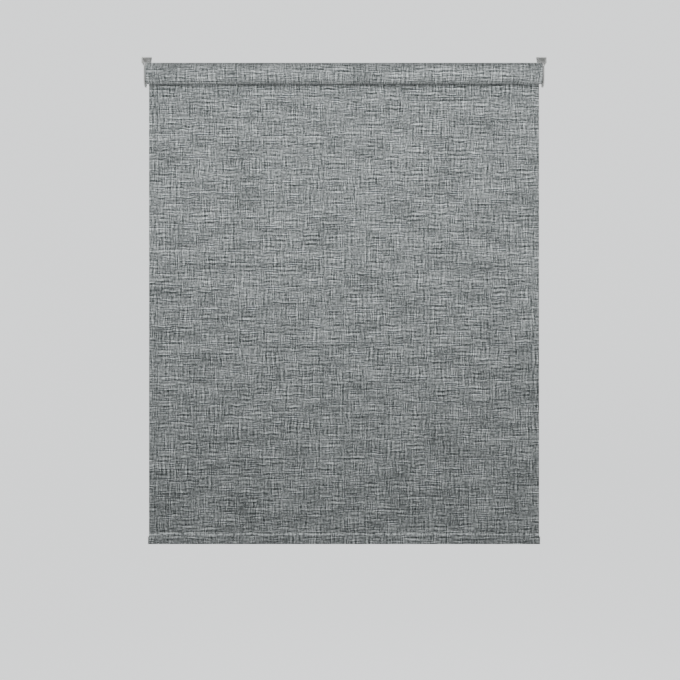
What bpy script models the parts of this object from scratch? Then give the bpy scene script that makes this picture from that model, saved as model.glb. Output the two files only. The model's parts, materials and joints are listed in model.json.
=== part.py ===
"""Cordless roller blind, drawn fully down, as separate pieces with running clearances.

Lengths are in metres. X runs along the roller, -Y faces the room and +Z is up. The origin lies on the head
plane that the two brackets are screwed to, midway between them and directly above the roller's axis.

The roller turns between a spring-loaded pin at the left end and a fixed blade at the right end. The blade
holds a shaft still inside the tube. On the shaft sit a drum gripped by a wrap spring, which keeps the blind
where it is left, a screw with a travelling nut, which stops it when the cloth is fully down, and the lift
spring, whose other end turns with the tube.
"""

import math

import bmesh
import bpy
from mathutils import Matrix, Vector

# ---------------------------------------------------------------- overall sizes
OVERALL_WIDTH = 0.800  # outer face to outer face of the brackets
DROP = 0.9705  # head plane to the foot of the hem
AXIS_DROP = 0.028  # head plane to the roller's axis
FIT_GAP = 0.0003  # between pieces that seat on, or turn in, one another

# ---------------------------------------------------------------- cloth and hem
CLOTH = 0.0006  # thickness of the cloth
TURNS_LEFT = 2  # turns that stay on the roller when the cloth is down
BAR_THICKNESS = 0.0036
BAR_HEIGHT = 0.014
BAR_WALL = 0.0008
WELD_HEIGHT = 0.0022  # band where the hem's two plies are welded
HEM_THROAT = 0.0044  # from the bar's top to the weld
HEM_CAP = 0.0015  # thickness of the end plate of a hem cap
HEM_CAP_SPIGOT = 0.012  # length of the part pushed into the bar

# ---------------------------------------------------------------- brackets
SHEET = 0.0018  # steel thickness
BRACKET_DEPTH = 0.048
FLANGE_FRONT = 0.021  # how far the top flange reaches in, at its front corner
FLANGE_REAR = 0.0115  # and at its rear corner
LEG_HEIGHT = 0.011  # side face that can be screwed to a wall
JOGGLE = 0.003  # step inwards that clears the pin's tip and the blade's end
JOGGLE_RUN = 0.005  # height that the step takes
PLATE_WIDTH = 0.035
PLATE_BELOW_AXIS = 0.0275
BEND_INSIDE = 0.0008  # inner bend radius of the steel
CORNER_RADIUS = 0.0025
SLOT_WIDTH = 0.004
SLOT_LENGTH = 0.009
SLOT_REACH = 0.0045  # middle of a slot, measured out from the flange's inner edge
SLOT_FRONT_Y = -0.013
SLOT_REAR_Y = 0.0096
SIDE_HOLE_RADIUS = 0.0018
EDGE_BREAK = 0.00025

# ---------------------------------------------------------------- roller
TUBE_RADIUS = 0.019
TUBE_WALL = 0.0012
GROOVE_DEPTH = 0.0032
GROOVE_MOUTH = 0.003  # width of the cloth groove at the tube's surface
GROOVE_FLOOR = 0.0046  # width at its bottom
COLLAR = 0.0015  # thickness of the plug collars that cover the tube's ends
END_PLAY = 0.0009  # between a collar and its bracket

# ---------------------------------------------------------------- idle end
PIN_RADIUS = 0.003
PIN_REACH = 0.0042  # how far the tip stands out past the bracket's inner face
PIN_SHOULDER_RADIUS = 0.006
PIN_SHOULDER = 0.003
PIN_STEM_RADIUS = 0.0025
PIN_NOSE = 0.0006  # chamfer at the tip
IDLE_PLUG = 0.0405  # length inside the tube
IDLE_FACE = 0.0062  # solid front of the plug, ahead of the spring's bore
PIN_SPRING_WIRE = 0.001
PIN_SPRING_TURNS = 8
RETAINER = 0.004  # length pushed into the bore
RETAINER_RIM = 0.0013
BUSH_WALL = 0.0017
BUSH_RIM = 0.0009  # thickness of the rims that lie on a bracket's outer face
BUSH_RIM_WIDTH = 0.002
SOCKET_CORNER = 0.0008  # fillet of the blade socket's body

# ---------------------------------------------------------------- motor end
SHAFT_RADIUS = 0.004
BLADE_THICKNESS = 0.004
BLADE_HEIGHT = 0.008
BLADE_REACH = 0.0038  # how far the blade stands out past the bracket's inner face
BLADE_COLLAR_RADIUS = 0.006
BLADE_COLLAR = 0.015
BLADE_SOCKET_DEPTH = 0.010  # how far the shaft goes into the collar
MOTOR_CAP = 0.0425  # length inside the tube
CAP_BUSH_SEAT = 0.0105
CAP_WEB = 0.0023
CAP_SKIRT = 0.002
MOTOR_BUSH_WALL = 0.0027
BRAKE_HUB = 0.020
BRAKE_WIRE = 0.0012
BRAKE_CLEARANCE = 0.0028  # between the wrap spring and the tip of the tube's rib
BRAKE_TURNS = 8
BRAKE_PITCH = 0.0017
LIMIT_GAP = 0.016  # from the end cap's skirt to the limit screw
LIMIT_SCREW = 0.036
LIMIT_COLLAR = 0.004
LIMIT_COLLAR_RADIUS = 0.009
THREAD_RADIUS = 0.007
THREAD_DEPTH = 0.0008
THREAD_PITCH = 0.002
THREAD_TURNS = 13
NUT = 0.008
ANCHOR_GAP = 0.030  # from the limit screw to the spring's anchor
ANCHOR = 0.008
SPIGOT = 0.012  # length that the lift spring's end coils sit on
SPRING_LENGTH = 0.238  # lift spring, from anchor to drive plug
SPRING_WIRE = 0.0016
SPRING_TURNS = 25
SPRING_TAIL = 0.005  # straight end that enters the anchor or the drive plug
DRIVE_PLUG = 0.012
DRIVE_BUSH_RIM = 0.0015
CLIP = 0.0012
CLIP_RADIUS = 0.0075
CLIP_GROOVE = 0.001  # depth of the shaft's groove for the clip
CLIP_MOUTH = 0.8  # width of the clip's opening, as a share of the shaft's neck that passes through it
SHAFT_TAIL = 0.0035  # shaft past its clip

# ---------------------------------------------------------------- facets
ROUND_STEPS = 48
SMALL_STEPS = 28
FILLET_STEPS = 5
FACET = 0.0018  # longest facet of a large fillet
COIL_STEPS = 16

# ---------------------------------------------------------------- places worked out from the sizes
AXIS_Z = -AXIS_DROP
BRACKET_FACE = OVERALL_WIDTH / 2  # outer face of a bracket's leg
PLATE_FACE = BRACKET_FACE - JOGGLE  # outer face of its side plate
PLATE_INNER = PLATE_FACE - SHEET
PLATE_FOOT = AXIS_Z - PLATE_BELOW_AXIS
COLLAR_FACE = PLATE_INNER - END_PLAY
COLLAR_INNER = COLLAR_FACE - COLLAR
TUBE_END = COLLAR_INNER - FIT_GAP  # the tube, the cloth and the hem are all this long each way

TUBE_BORE = TUBE_RADIUS - TUBE_WALL
GROOVE_BOTTOM = TUBE_RADIUS - GROOVE_DEPTH
RIB_HALF = GROOVE_FLOOR / 2 + TUBE_WALL
RIB_TIP = GROOVE_BOTTOM - TUBE_WALL
PLUG_RADIUS = TUBE_BORE - FIT_GAP
KEYWAY_HALF = RIB_HALF + FIT_GAP
KEYWAY_FLOOR = RIB_TIP - FIT_GAP
ROLL_INNER = TUBE_RADIUS + FIT_GAP
ROLL_RADIUS = ROLL_INNER + TURNS_LEFT * CLOTH
CLOTH_FRONT = ROLL_RADIUS + FIT_GAP  # Y of the hanging sheet's room side
CLOTH_MIDDLE = CLOTH_FRONT + CLOTH / 2

HEM_HALF = BAR_THICKNESS / 2 + FIT_GAP + CLOTH
BAR_FOOT = -DROP + CLOTH + FIT_GAP
BAR_TOP = BAR_FOOT + BAR_HEIGHT
WELD_FOOT = BAR_TOP + HEM_THROAT
WELD_TOP = WELD_FOOT + WELD_HEIGHT
SHEET_FOOT = WELD_TOP + FIT_GAP

PIN_TIP = -(PLATE_INNER + PIN_REACH)
IDLE_BORE = PIN_SHOULDER_RADIUS + FIT_GAP
IDLE_BORE_START = -COLLAR_FACE + IDLE_FACE
IDLE_PLUG_END = -TUBE_END + IDLE_PLUG
SHOULDER_START = IDLE_BORE_START + FIT_GAP
SHOULDER_END = SHOULDER_START + PIN_SHOULDER
RETAINER_START = IDLE_PLUG_END - RETAINER

BUSH_RADIUS = PIN_RADIUS + FIT_GAP + BUSH_WALL
SOCKET_HALF_Y = BLADE_THICKNESS / 2 + FIT_GAP + BUSH_WALL
SOCKET_HALF_Z = BLADE_HEIGHT / 2 + FIT_GAP + BUSH_WALL

BLADE_COLLAR_END = COLLAR_FACE - FIT_GAP
BLADE_COLLAR_START = BLADE_COLLAR_END - BLADE_COLLAR
SHAFT_END = BLADE_COLLAR_START + BLADE_SOCKET_DEPTH
MOTOR_BUSH_RADIUS = BLADE_COLLAR_RADIUS + FIT_GAP + MOTOR_BUSH_WALL
BUSH_SEAT_START = COLLAR_FACE - CAP_BUSH_SEAT
CAP_CHAMBER_END = BUSH_SEAT_START - CAP_WEB
CAP_START = TUBE_END - MOTOR_CAP
CAP_CHAMBER_RADIUS = PLUG_RADIUS - CAP_SKIRT
BRAKE_HUB_END = BLADE_COLLAR_START - FIT_GAP
BRAKE_HUB_START = BRAKE_HUB_END - BRAKE_HUB
BRAKE_COIL_RADIUS = RIB_TIP - BRAKE_CLEARANCE - BRAKE_WIRE / 2
BRAKE_HUB_RADIUS = BRAKE_COIL_RADIUS - BRAKE_WIRE / 2 - 2 * FIT_GAP
BRAKE_COIL_START = BRAKE_HUB_START + BRAKE_WIRE
TANG_TIP = PLUG_RADIUS - BRAKE_WIRE

LIMIT_SCREW_END = CAP_START - LIMIT_GAP
LIMIT_SCREW_START = LIMIT_SCREW_END - LIMIT_SCREW
THREAD_START = LIMIT_SCREW_START + LIMIT_COLLAR
NUT_START = THREAD_START + FIT_GAP
ANCHOR_END = LIMIT_SCREW_START - ANCHOR_GAP
ANCHOR_START = ANCHOR_END - ANCHOR
SPRING_START = ANCHOR_START - SPRING_LENGTH
DRIVE_PLUG_START = SPRING_START - DRIVE_PLUG
CLIP_END = DRIVE_PLUG_START - DRIVE_BUSH_RIM - 2 * FIT_GAP
CLIP_START = CLIP_END - CLIP
SHAFT_START = CLIP_START - SHAFT_TAIL
ANCHOR_RADIUS = KEYWAY_FLOOR - FIT_GAP  # turns clear of the tube's rib
SPRING_RADIUS = ANCHOR_RADIUS - SPRING_WIRE - FIT_GAP
SPIGOT_RADIUS = SPRING_RADIUS - SPRING_WIRE / 2 - 2 * FIT_GAP
SHAFT_BORE = SHAFT_RADIUS + FIT_GAP

ALONG_X = (math.pi / 2, 0, math.pi / 2)  # turns a local Z axis to +X, local X to +Y and local Y to +Z

# ---------------------------------------------------------------- scene set-up


def clear_scene():
    """Removes every object of the scene that the script starts in."""
    for obj in list(bpy.data.objects):
        bpy.data.objects.remove(obj, do_unlink=True)


def new_collection(name):
    """Makes a collection in the scene."""
    collection = bpy.data.collections.new(name)
    bpy.context.scene.collection.children.link(collection)
    return collection


def new_material(name, color, roughness, metallic=0.0):
    """Makes a Principled material from a linear colour."""
    material = bpy.data.materials.new(name)
    material.use_nodes = True
    shader = material.node_tree.nodes["Principled BSDF"]
    shader.inputs["Base Color"].default_value = (*color, 1.0)
    shader.inputs["Roughness"].default_value = roughness
    shader.inputs["Metallic"].default_value = metallic
    material.diffuse_color = (*color, 1.0)
    return material


clear_scene()
PARTS = new_collection("roller_blind")
CUTTERS = new_collection("roller_blind_cutters")

PAINT = new_material("pale_painted_steel", (0.55, 0.55, 0.54), 0.45)
LINEN = new_material("grey_linen", (0.26, 0.28, 0.285), 0.9)
ALUMINIUM = new_material("aluminium", (0.62, 0.63, 0.65), 0.35, 1.0)
STEEL = new_material("bright_steel", (0.45, 0.45, 0.46), 0.3, 1.0)
SPRING_STEEL = new_material("spring_steel", (0.2, 0.2, 0.22), 0.35, 1.0)
NYLON = new_material("grey_nylon", (0.42, 0.42, 0.42), 0.5)
ACETAL = new_material("white_acetal", (0.75, 0.75, 0.72), 0.4)

# ---------------------------------------------------------------- modelling helpers


def evaluated_mesh(obj):
    """The mesh that an object's curve or modifiers make."""
    bpy.context.view_layer.update()
    graph = bpy.context.evaluated_depsgraph_get()
    return bpy.data.meshes.new_from_object(obj.evaluated_get(graph))


def new_frame(name, location, rotation=(0, 0, 0)):
    """Makes an empty that pieces are placed from."""
    frame = bpy.data.objects.new(name, None)
    frame.empty_display_size = 0.02
    frame.location = location
    frame.rotation_euler = rotation
    PARTS.objects.link(frame)
    return frame


def new_piece(name, data, material, parent):
    """Makes a visible object, which becomes a node."""
    piece = bpy.data.objects.new(name, data)
    data.materials.append(material)
    piece.parent = parent
    PARTS.objects.link(piece)
    return piece


def new_cutter(name, data, parent):
    """Makes a helper that another piece is cut by or joined with."""
    cutter = bpy.data.objects.new(name, data)
    cutter.parent = parent
    cutter.hide_render = True
    cutter.display_type = "WIRE"
    CUTTERS.objects.link(cutter)
    return cutter


def add_boolean(piece, operation, helper):
    """Adds a Boolean modifier with one helper."""
    modifier = piece.modifiers.new(f"{operation.lower()} {helper.name}", "BOOLEAN")
    modifier.operation = operation
    modifier.object = helper


def prism_mesh(name, outlines, start, end):
    """Extrudes closed outlines in local XY from start to end along local Z. Inner outlines are holes."""
    curve = bpy.data.curves.new(name, "CURVE")
    curve.dimensions = "2D"
    curve.fill_mode = "BOTH"
    curve.extrude = (end - start) / 2
    for outline in outlines:
        spline = curve.splines.new("POLY")
        spline.points.add(len(outline) - 1)
        spline.use_cyclic_u = True
        for point, (x, y) in zip(spline.points, outline):
            point.co = (x, y, 0, 1)
    guide = bpy.data.objects.new(name, curve)
    bpy.context.scene.collection.objects.link(guide)
    mesh = evaluated_mesh(guide)
    bpy.data.objects.remove(guide)
    bpy.data.curves.remove(curve)
    mesh.name = name
    shape = bmesh.new()
    shape.from_mesh(mesh)
    bmesh.ops.remove_doubles(shape, verts=shape.verts, dist=1e-6)
    bmesh.ops.translate(shape, verts=shape.verts, vec=(0, 0, (start + end) / 2))
    bmesh.ops.recalc_face_normals(shape, faces=shape.faces)
    shape.to_mesh(mesh)
    shape.free()
    return mesh


def box_mesh(name, low, high):
    """Makes a box between two corners."""
    shape = bmesh.new()
    bmesh.ops.create_cube(shape, size=1)
    size = [b - a for a, b in zip(low, high)]
    middle = [(a + b) / 2 for a, b in zip(low, high)]
    bmesh.ops.scale(shape, verts=shape.verts, vec=size)
    bmesh.ops.translate(shape, verts=shape.verts, vec=middle)
    mesh = bpy.data.meshes.new(name)
    shape.to_mesh(mesh)
    shape.free()
    return mesh


def profile_mesh(name, outline):
    """Makes the wire that a Screw modifier turns, from (place along Z, radius) points round its section."""
    area = sum(a[0] * b[1] - b[0] * a[1] for a, b in zip(outline, outline[1:] + outline[:1]))
    ordered = outline if area > 0 else outline[::-1]  # down its outer side, so that faces look outwards
    shape = bmesh.new()
    points = [shape.verts.new((radius, 0, along)) for along, radius in ordered]
    for a, b in zip(points, points[1:] + points[:1]):
        if a.co.x > 0 or b.co.x > 0:
            shape.edges.new((a, b))
    mesh = bpy.data.meshes.new(name)
    shape.to_mesh(mesh)
    shape.free()
    return mesh


def turn(obj, steps):
    """Turns the object's profile once round local Z."""
    screw = obj.modifiers.new("turn", "SCREW")
    screw.steps = steps
    screw.render_steps = steps
    screw.use_merge_vertices = True
    screw.merge_threshold = 1e-6
    return obj


def turned_piece(name, outline, material, parent, steps=SMALL_STEPS):
    """Makes a turned piece."""
    return turn(new_piece(name, profile_mesh(name, outline), material, parent), steps)


def turned_cutter(name, outline, parent, steps=SMALL_STEPS):
    """Makes a turned helper."""
    return turn(new_cutter(name, profile_mesh(name, outline), parent), steps)


def sleeve(start, end, bore, radius):
    """Section of a plain ring or, with no bore, of a plain rod."""
    return [(start, bore), (start, radius), (end, radius), (end, bore)]


def coil_piece(name, parent, wire, start, end, turns, before, after, phase=0.0):
    """Makes a coil spring round local Z, with extra points before its first coil and after its last.

    start and end are (radius, place along Z) of the wire's middle at the two ends of the coil.
    """
    count = round(turns * COIL_STEPS)
    points = list(before)
    for i in range(count + 1):
        share = i / count
        angle = phase + 2 * math.pi * turns * share
        radius = start[0] + (end[0] - start[0]) * share
        along = start[1] + (end[1] - start[1]) * share
        points.append((radius * math.cos(angle), radius * math.sin(angle), along))
    points += after
    curve = bpy.data.curves.new(name, "CURVE")
    curve.dimensions = "3D"
    curve.bevel_depth = wire / 2
    curve.bevel_resolution = 1
    curve.use_fill_caps = True
    spline = curve.splines.new("POLY")
    spline.points.add(len(points) - 1)
    for point, place in zip(spline.points, points):
        point.co = (*place, 1)
    return new_piece(name, curve, SPRING_STEEL, parent)


def filleted(points, radii, closed=False):
    """Rounds the corners of a 2D path, each with its own radius; 0 leaves a corner sharp."""
    rounded = []
    count = len(points)
    for i, radius in enumerate(radii):
        corner = Vector(points[i])
        if radius == 0 or (not closed and i in (0, count - 1)):
            rounded.append(tuple(corner))
            continue
        back = (Vector(points[i - 1]) - corner).normalized()
        ahead = (Vector(points[(i + 1) % count]) - corner).normalized()
        half = back.angle(ahead) / 2
        middle = corner + (back + ahead).normalized() * radius / math.sin(half)
        first = corner + back * radius / math.tan(half) - middle
        sweep = first.angle_signed(corner + ahead * radius / math.tan(half) - middle)
        steps = max(FILLET_STEPS, math.ceil(radius * abs(sweep) / FACET))
        for step in range(steps + 1):
            # mathutils counts a signed angle clockwise, and a rotation anticlockwise.
            arm = Matrix.Rotation(-sweep * step / steps, 2) @ first
            rounded.append(tuple(middle + arm))
    return rounded


def keyed_outline(radius, notch_half, notch_floor, floor_half=None):
    """A circle with a notch at its top, which may widen towards its floor."""
    floor_half = notch_half if floor_half is None else floor_half
    rim = math.asin(notch_half / radius)
    sweep = 2 * (math.pi - rim)
    angles = [rim + sweep * i / ROUND_STEPS for i in range(ROUND_STEPS + 1)]
    arc = [(radius * math.sin(a), radius * math.cos(a)) for a in angles]
    return arc + [(-floor_half, notch_floor), (floor_half, notch_floor)]


def circle_outline(radius, x=0.0, y=0.0, steps=SMALL_STEPS):
    """A circle about a point."""
    angles = [2 * math.pi * i / steps for i in range(steps)]
    return [(x + radius * math.cos(a), y + radius * math.sin(a)) for a in angles]


def rectangle(half_x, half_y):
    """The corners of a rectangle about the origin."""
    return [(half_x, half_y), (-half_x, half_y), (-half_x, -half_y), (half_x, -half_y)]


def stadium(half, foot, top):
    """An upright slot shape with round ends, from foot to top."""
    arc = [math.pi * i / (2 * FILLET_STEPS) for i in range(2 * FILLET_STEPS + 1)]
    upper = [(half * math.cos(a), top - half + half * math.sin(a)) for a in arc]
    lower = [(-half * math.cos(a), foot + half - half * math.sin(a)) for a in arc]
    return upper + lower


# ---------------------------------------------------------------- brackets


def bracket_blank():
    """The right bracket's bent steel, trimmed to its outlines, before its pivot hole is cut."""
    path = [
        (BRACKET_FACE - FLANGE_FRONT - CORNER_RADIUS, 0),
        (BRACKET_FACE, 0),
        (BRACKET_FACE, -LEG_HEIGHT),
        (PLATE_FACE, -LEG_HEIGHT - JOGGLE_RUN),
        (PLATE_FACE, PLATE_FOOT - CORNER_RADIUS),
    ]
    outer_bend = BEND_INSIDE + SHEET
    path = filleted(path, [0, outer_bend, outer_bend, BEND_INSIDE, 0])
    shape = bmesh.new()
    points = [shape.verts.new((x, -BRACKET_DEPTH, z)) for x, z in path]
    edges = [shape.edges.new(pair) for pair in zip(points, points[1:])]
    swept = bmesh.ops.extrude_edge_only(shape, edges=edges)["geom"]
    moved = [item for item in swept if isinstance(item, bmesh.types.BMVert)]
    bmesh.ops.translate(shape, verts=moved, vec=(0, 2 * BRACKET_DEPTH, 0))
    bmesh.ops.recalc_face_normals(shape, faces=shape.faces)
    top = max(shape.faces, key=lambda face: face.calc_center_median().z)
    if top.normal.z < 0:
        bmesh.ops.reverse_faces(shape, faces=shape.faces)
    mesh = bpy.data.meshes.new("bracket_sheet")
    shape.to_mesh(mesh)
    shape.free()
    blank = new_cutter("bracket_blank", mesh, None)
    steel = blank.modifiers.new("steel", "SOLIDIFY")
    steel.thickness = SHEET
    steel.offset = -1
    steel.use_even_offset = True

    half = BRACKET_DEPTH / 2
    flange = [
        (BRACKET_FACE + SHEET, -half),
        (BRACKET_FACE + SHEET, half),
        (BRACKET_FACE - FLANGE_REAR, half),
        (BRACKET_FACE - FLANGE_FRONT, -half),
    ]
    plan = [filleted(flange, [0, 0, CORNER_RADIUS, CORNER_RADIUS], closed=True)]
    plan += [slot_outline(y) for y in (SLOT_FRONT_Y, SLOT_REAR_Y)]
    plan_prism = new_cutter("bracket_plan", prism_mesh("bracket_plan", plan, -DROP, SHEET), None)
    add_boolean(blank, "INTERSECT", plan_prism)

    side = PLATE_WIDTH / 2
    step = -LEG_HEIGHT - JOGGLE_RUN
    wide = half + SHEET  # the shoulders' slope runs on past the flange's front and rear edges
    slope_top = -LEG_HEIGHT + SHEET * JOGGLE_RUN / (half - side)
    front = [
        (wide, 2 * SHEET),
        (-wide, 2 * SHEET),
        (-wide, slope_top),
        (-side, step),
        (-side, PLATE_FOOT),
        (side, PLATE_FOOT),
        (side, step),
        (wide, slope_top),
    ]
    foot = side - FIT_GAP  # the plate's foot is round, but for this short flat
    elevation = filleted(front, [0, 0, 0, CORNER_RADIUS, foot, foot, CORNER_RADIUS, 0], closed=True)
    middle = -(LEG_HEIGHT + SHEET) / 2
    holes = [circle_outline(SIDE_HOLE_RADIUS, y, middle) for y in (-half / 2, half / 2)]
    mesh = prism_mesh("bracket_elevation", [elevation, *holes], TUBE_END / 2, OVERALL_WIDTH)
    elevation_prism = new_cutter("bracket_elevation", mesh, None)
    elevation_prism.rotation_euler = ALONG_X
    add_boolean(blank, "INTERSECT", elevation_prism)

    steel_mesh = evaluated_mesh(blank)
    for helper in (blank, plan_prism, elevation_prism):
        bpy.data.objects.remove(helper)
    return steel_mesh


def slot_outline(y):
    """A screw slot through the flange, running along Y, near the slanted inner edge at that Y."""
    share = (y + BRACKET_DEPTH / 2) / BRACKET_DEPTH
    edge = BRACKET_FACE - FLANGE_FRONT + (FLANGE_FRONT - FLANGE_REAR) * share
    half = SLOT_WIDTH / 2
    return [(edge + SLOT_REACH + u, y + v) for u, v in stadium(half, -SLOT_LENGTH / 2, SLOT_LENGTH / 2)]


def make_bracket(name, blank, side, cutter, parent):
    """Makes the bracket at one end from the right-hand blank; side is -1 for the left and 1 for the right."""
    mesh = blank.copy()
    if side < 0:
        for vertex in mesh.vertices:
            vertex.co.x = -vertex.co.x
        mesh.flip_normals()
    bracket = new_piece(name, mesh, PAINT, parent)
    add_boolean(bracket, "DIFFERENCE", cutter)
    edges = bracket.modifiers.new("edge break", "BEVEL")
    edges.width = EDGE_BREAK
    edges.segments = 2
    edges.limit_method = "ANGLE"
    edges.angle_limit = math.radians(50)
    return bracket


def make_brackets(blind, roller):
    """The two brackets and the nylon inserts in their holes."""
    blank = bracket_blank()
    through = 2 * SHEET
    hole = BUSH_RADIUS + FIT_GAP
    cut = sleeve(-PLATE_FACE - through, -PLATE_INNER + through, 0, hole)
    left_hole = turned_cutter("left_hole", cut, roller)
    make_bracket("left_bracket", blank, -1, left_hole, blind)
    corners = [SOCKET_CORNER + FIT_GAP] * 4
    square = filleted(rectangle(SOCKET_HALF_Y + FIT_GAP, SOCKET_HALF_Z + FIT_GAP), corners, closed=True)
    mesh = prism_mesh("right_hole", [square], PLATE_INNER - through, PLATE_FACE + through)
    make_bracket("right_bracket", blank, 1, new_cutter("right_hole", mesh, roller), blind)

    bore = PIN_RADIUS + FIT_GAP
    rim = BUSH_RADIUS + BUSH_RIM_WIDTH
    rim_end = -PLATE_FACE - FIT_GAP
    bush = [
        (rim_end - BUSH_RIM, bore),
        (rim_end - BUSH_RIM, rim),
        (rim_end, rim),
        (rim_end, BUSH_RADIUS),
        (-PLATE_INNER + FIT_GAP, BUSH_RADIUS),
        (-PLATE_INNER + FIT_GAP, bore),
    ]
    turned_piece("pin_bush", bush, ACETAL, roller)

    body = filleted(rectangle(SOCKET_HALF_Y, SOCKET_HALF_Z), [SOCKET_CORNER] * 4, closed=True)
    opening = rectangle(SOCKET_HALF_Y - BUSH_WALL, SOCKET_HALF_Z - BUSH_WALL)
    mesh = prism_mesh("blade_socket", [body, opening], PLATE_INNER - FIT_GAP, PLATE_FACE + FIT_GAP + BUSH_RIM)
    socket = new_piece("blade_socket", mesh, ACETAL, roller)
    rim_half = (SOCKET_HALF_Y + BUSH_RIM_WIDTH, SOCKET_HALF_Z + BUSH_RIM_WIDTH)
    plate = filleted(rectangle(*rim_half), [SOCKET_CORNER + BUSH_RIM_WIDTH] * 4, closed=True)
    inner = rectangle(SOCKET_HALF_Y - BUSH_WALL / 2, SOCKET_HALF_Z - BUSH_WALL / 2)
    mesh = prism_mesh("socket_rim", [plate, inner], PLATE_FACE + FIT_GAP, PLATE_FACE + FIT_GAP + BUSH_RIM)
    add_boolean(socket, "UNION", new_cutter("socket_rim", mesh, roller))


# ---------------------------------------------------------------- tube, cloth and hem


def make_roller(roller):
    """The tube, the strip that grips the cloth's edge, and the cloth left on the tube."""
    outer = keyed_outline(TUBE_RADIUS, GROOVE_MOUTH / 2, GROOVE_BOTTOM, GROOVE_FLOOR / 2)
    bore = keyed_outline(TUBE_BORE, RIB_HALF, RIB_TIP)
    new_piece("roller_tube", prism_mesh("roller_tube", [outer, bore], -TUBE_END, TUBE_END), ALUMINIUM, roller)

    mouth = GROOVE_MOUTH / 2 - FIT_GAP
    floor = GROOVE_FLOOR / 2 - FIT_GAP
    top = TUBE_RADIUS - FIT_GAP
    strip = [(mouth, top), (-mouth, top), (-floor, GROOVE_BOTTOM + FIT_GAP), (floor, GROOVE_BOTTOM + FIT_GAP)]
    new_piece("fabric_spline", prism_mesh("fabric_spline", [strip], -TUBE_END, TUBE_END), ACETAL, roller)

    turns = sleeve(-TUBE_END, TUBE_END, ROLL_INNER, ROLL_RADIUS)
    turned_piece("rolled_fabric", turns, LINEN, roller, ROUND_STEPS)


def hem_outlines():
    """The outer and inner outlines of the hem's loop, which closes round the bar and narrows to the weld."""
    inner = BAR_THICKNESS / 2 + FIT_GAP
    foot = BAR_FOOT + BAR_THICKNESS / 2
    shoulder = BAR_TOP - BAR_THICKNESS / 2
    slope = math.acos(inner / (WELD_FOOT - shoulder))
    side = [slope + (math.pi / 2 - slope) * i / FILLET_STEPS for i in range(FILLET_STEPS + 1)]
    under = [math.pi / 2 + math.pi / 2 * i / FILLET_STEPS for i in range(1, FILLET_STEPS + 1)]

    def half_loop(radius, tip):
        """The right half of one outline, from its tip down to its lowest point."""
        upper = [(radius * math.sin(a), shoulder + radius * math.cos(a)) for a in side]
        lower = [(radius * math.sin(a), foot + radius * math.cos(a)) for a in [math.pi / 2, *under]]
        return [*tip, *upper, *lower]

    outer_apex = shoulder + HEM_HALF / math.cos(slope)
    tangent_y = HEM_HALF * math.sin(slope)
    tangent_z = shoulder + HEM_HALF * math.cos(slope)
    weld_corner = outer_apex + (tangent_z - outer_apex) * CLOTH / tangent_y
    loops = []
    for radius, tip in ((HEM_HALF, [(CLOTH, WELD_TOP), (CLOTH, weld_corner)]), (inner, [(0, WELD_FOOT)])):
        right = half_loop(radius, tip)
        left = [(-y, z) for y, z in reversed(right) if y > 1e-9]
        loops.append(right + left)
    return loops


def make_cloth_and_hem(blind, hem):
    """The hanging sheet, the loop at its foot, the bar in the loop and the bar's end caps."""
    low = (-TUBE_END, CLOTH_FRONT, SHEET_FOOT)
    high = (TUBE_END, CLOTH_FRONT + CLOTH, AXIS_Z)
    new_piece("hanging_fabric", box_mesh("hanging_fabric", low, high), LINEN, blind)

    new_piece("hem_pocket", prism_mesh("hem_pocket", hem_outlines(), -TUBE_END, TUBE_END), LINEN, hem)

    outside = stadium(BAR_THICKNESS / 2, BAR_FOOT, BAR_TOP)
    inside = stadium(BAR_THICKNESS / 2 - BAR_WALL, BAR_FOOT + BAR_WALL, BAR_TOP - BAR_WALL)
    new_piece("hem_bar", prism_mesh("hem_bar", [outside, inside], -TUBE_END, TUBE_END), ALUMINIUM, hem)

    clear = BAR_WALL + FIT_GAP
    plate = stadium(HEM_HALF, -DROP, BAR_TOP + FIT_GAP + CLOTH)
    spigot = stadium(BAR_THICKNESS / 2 - clear, BAR_FOOT + clear, BAR_TOP - clear)
    for name, side in (("hem_cap_left", -1), ("hem_cap_right", 1)):
        face = sorted((side * (TUBE_END + FIT_GAP), side * (TUBE_END + FIT_GAP + HEM_CAP)))
        plug = sorted((side * (TUBE_END - HEM_CAP_SPIGOT), side * (TUBE_END + FIT_GAP + HEM_CAP / 2)))
        cap = new_piece(name, prism_mesh(name, [plate], *face), NYLON, hem)
        inserted = prism_mesh(f"{name}_plug", [spigot], *plug)
        add_boolean(cap, "UNION", new_cutter(f"{name}_plug", inserted, hem))


# ---------------------------------------------------------------- ends of the roller


def make_plug(name, start, end, collar, bore, parent):
    """Makes a plug keyed to the tube's rib, with an optional collar outside the tube and a turned bore."""
    outline = keyed_outline(PLUG_RADIUS, KEYWAY_HALF, KEYWAY_FLOOR)
    plug = new_piece(name, prism_mesh(name, [outline], start, end), NYLON, parent)
    if collar:
        add_boolean(plug, "UNION", turned_cutter(f"{name}_collar", collar, parent, ROUND_STEPS))
    add_boolean(plug, "DIFFERENCE", turned_cutter(f"{name}_bore", bore, parent))
    return plug


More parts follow.
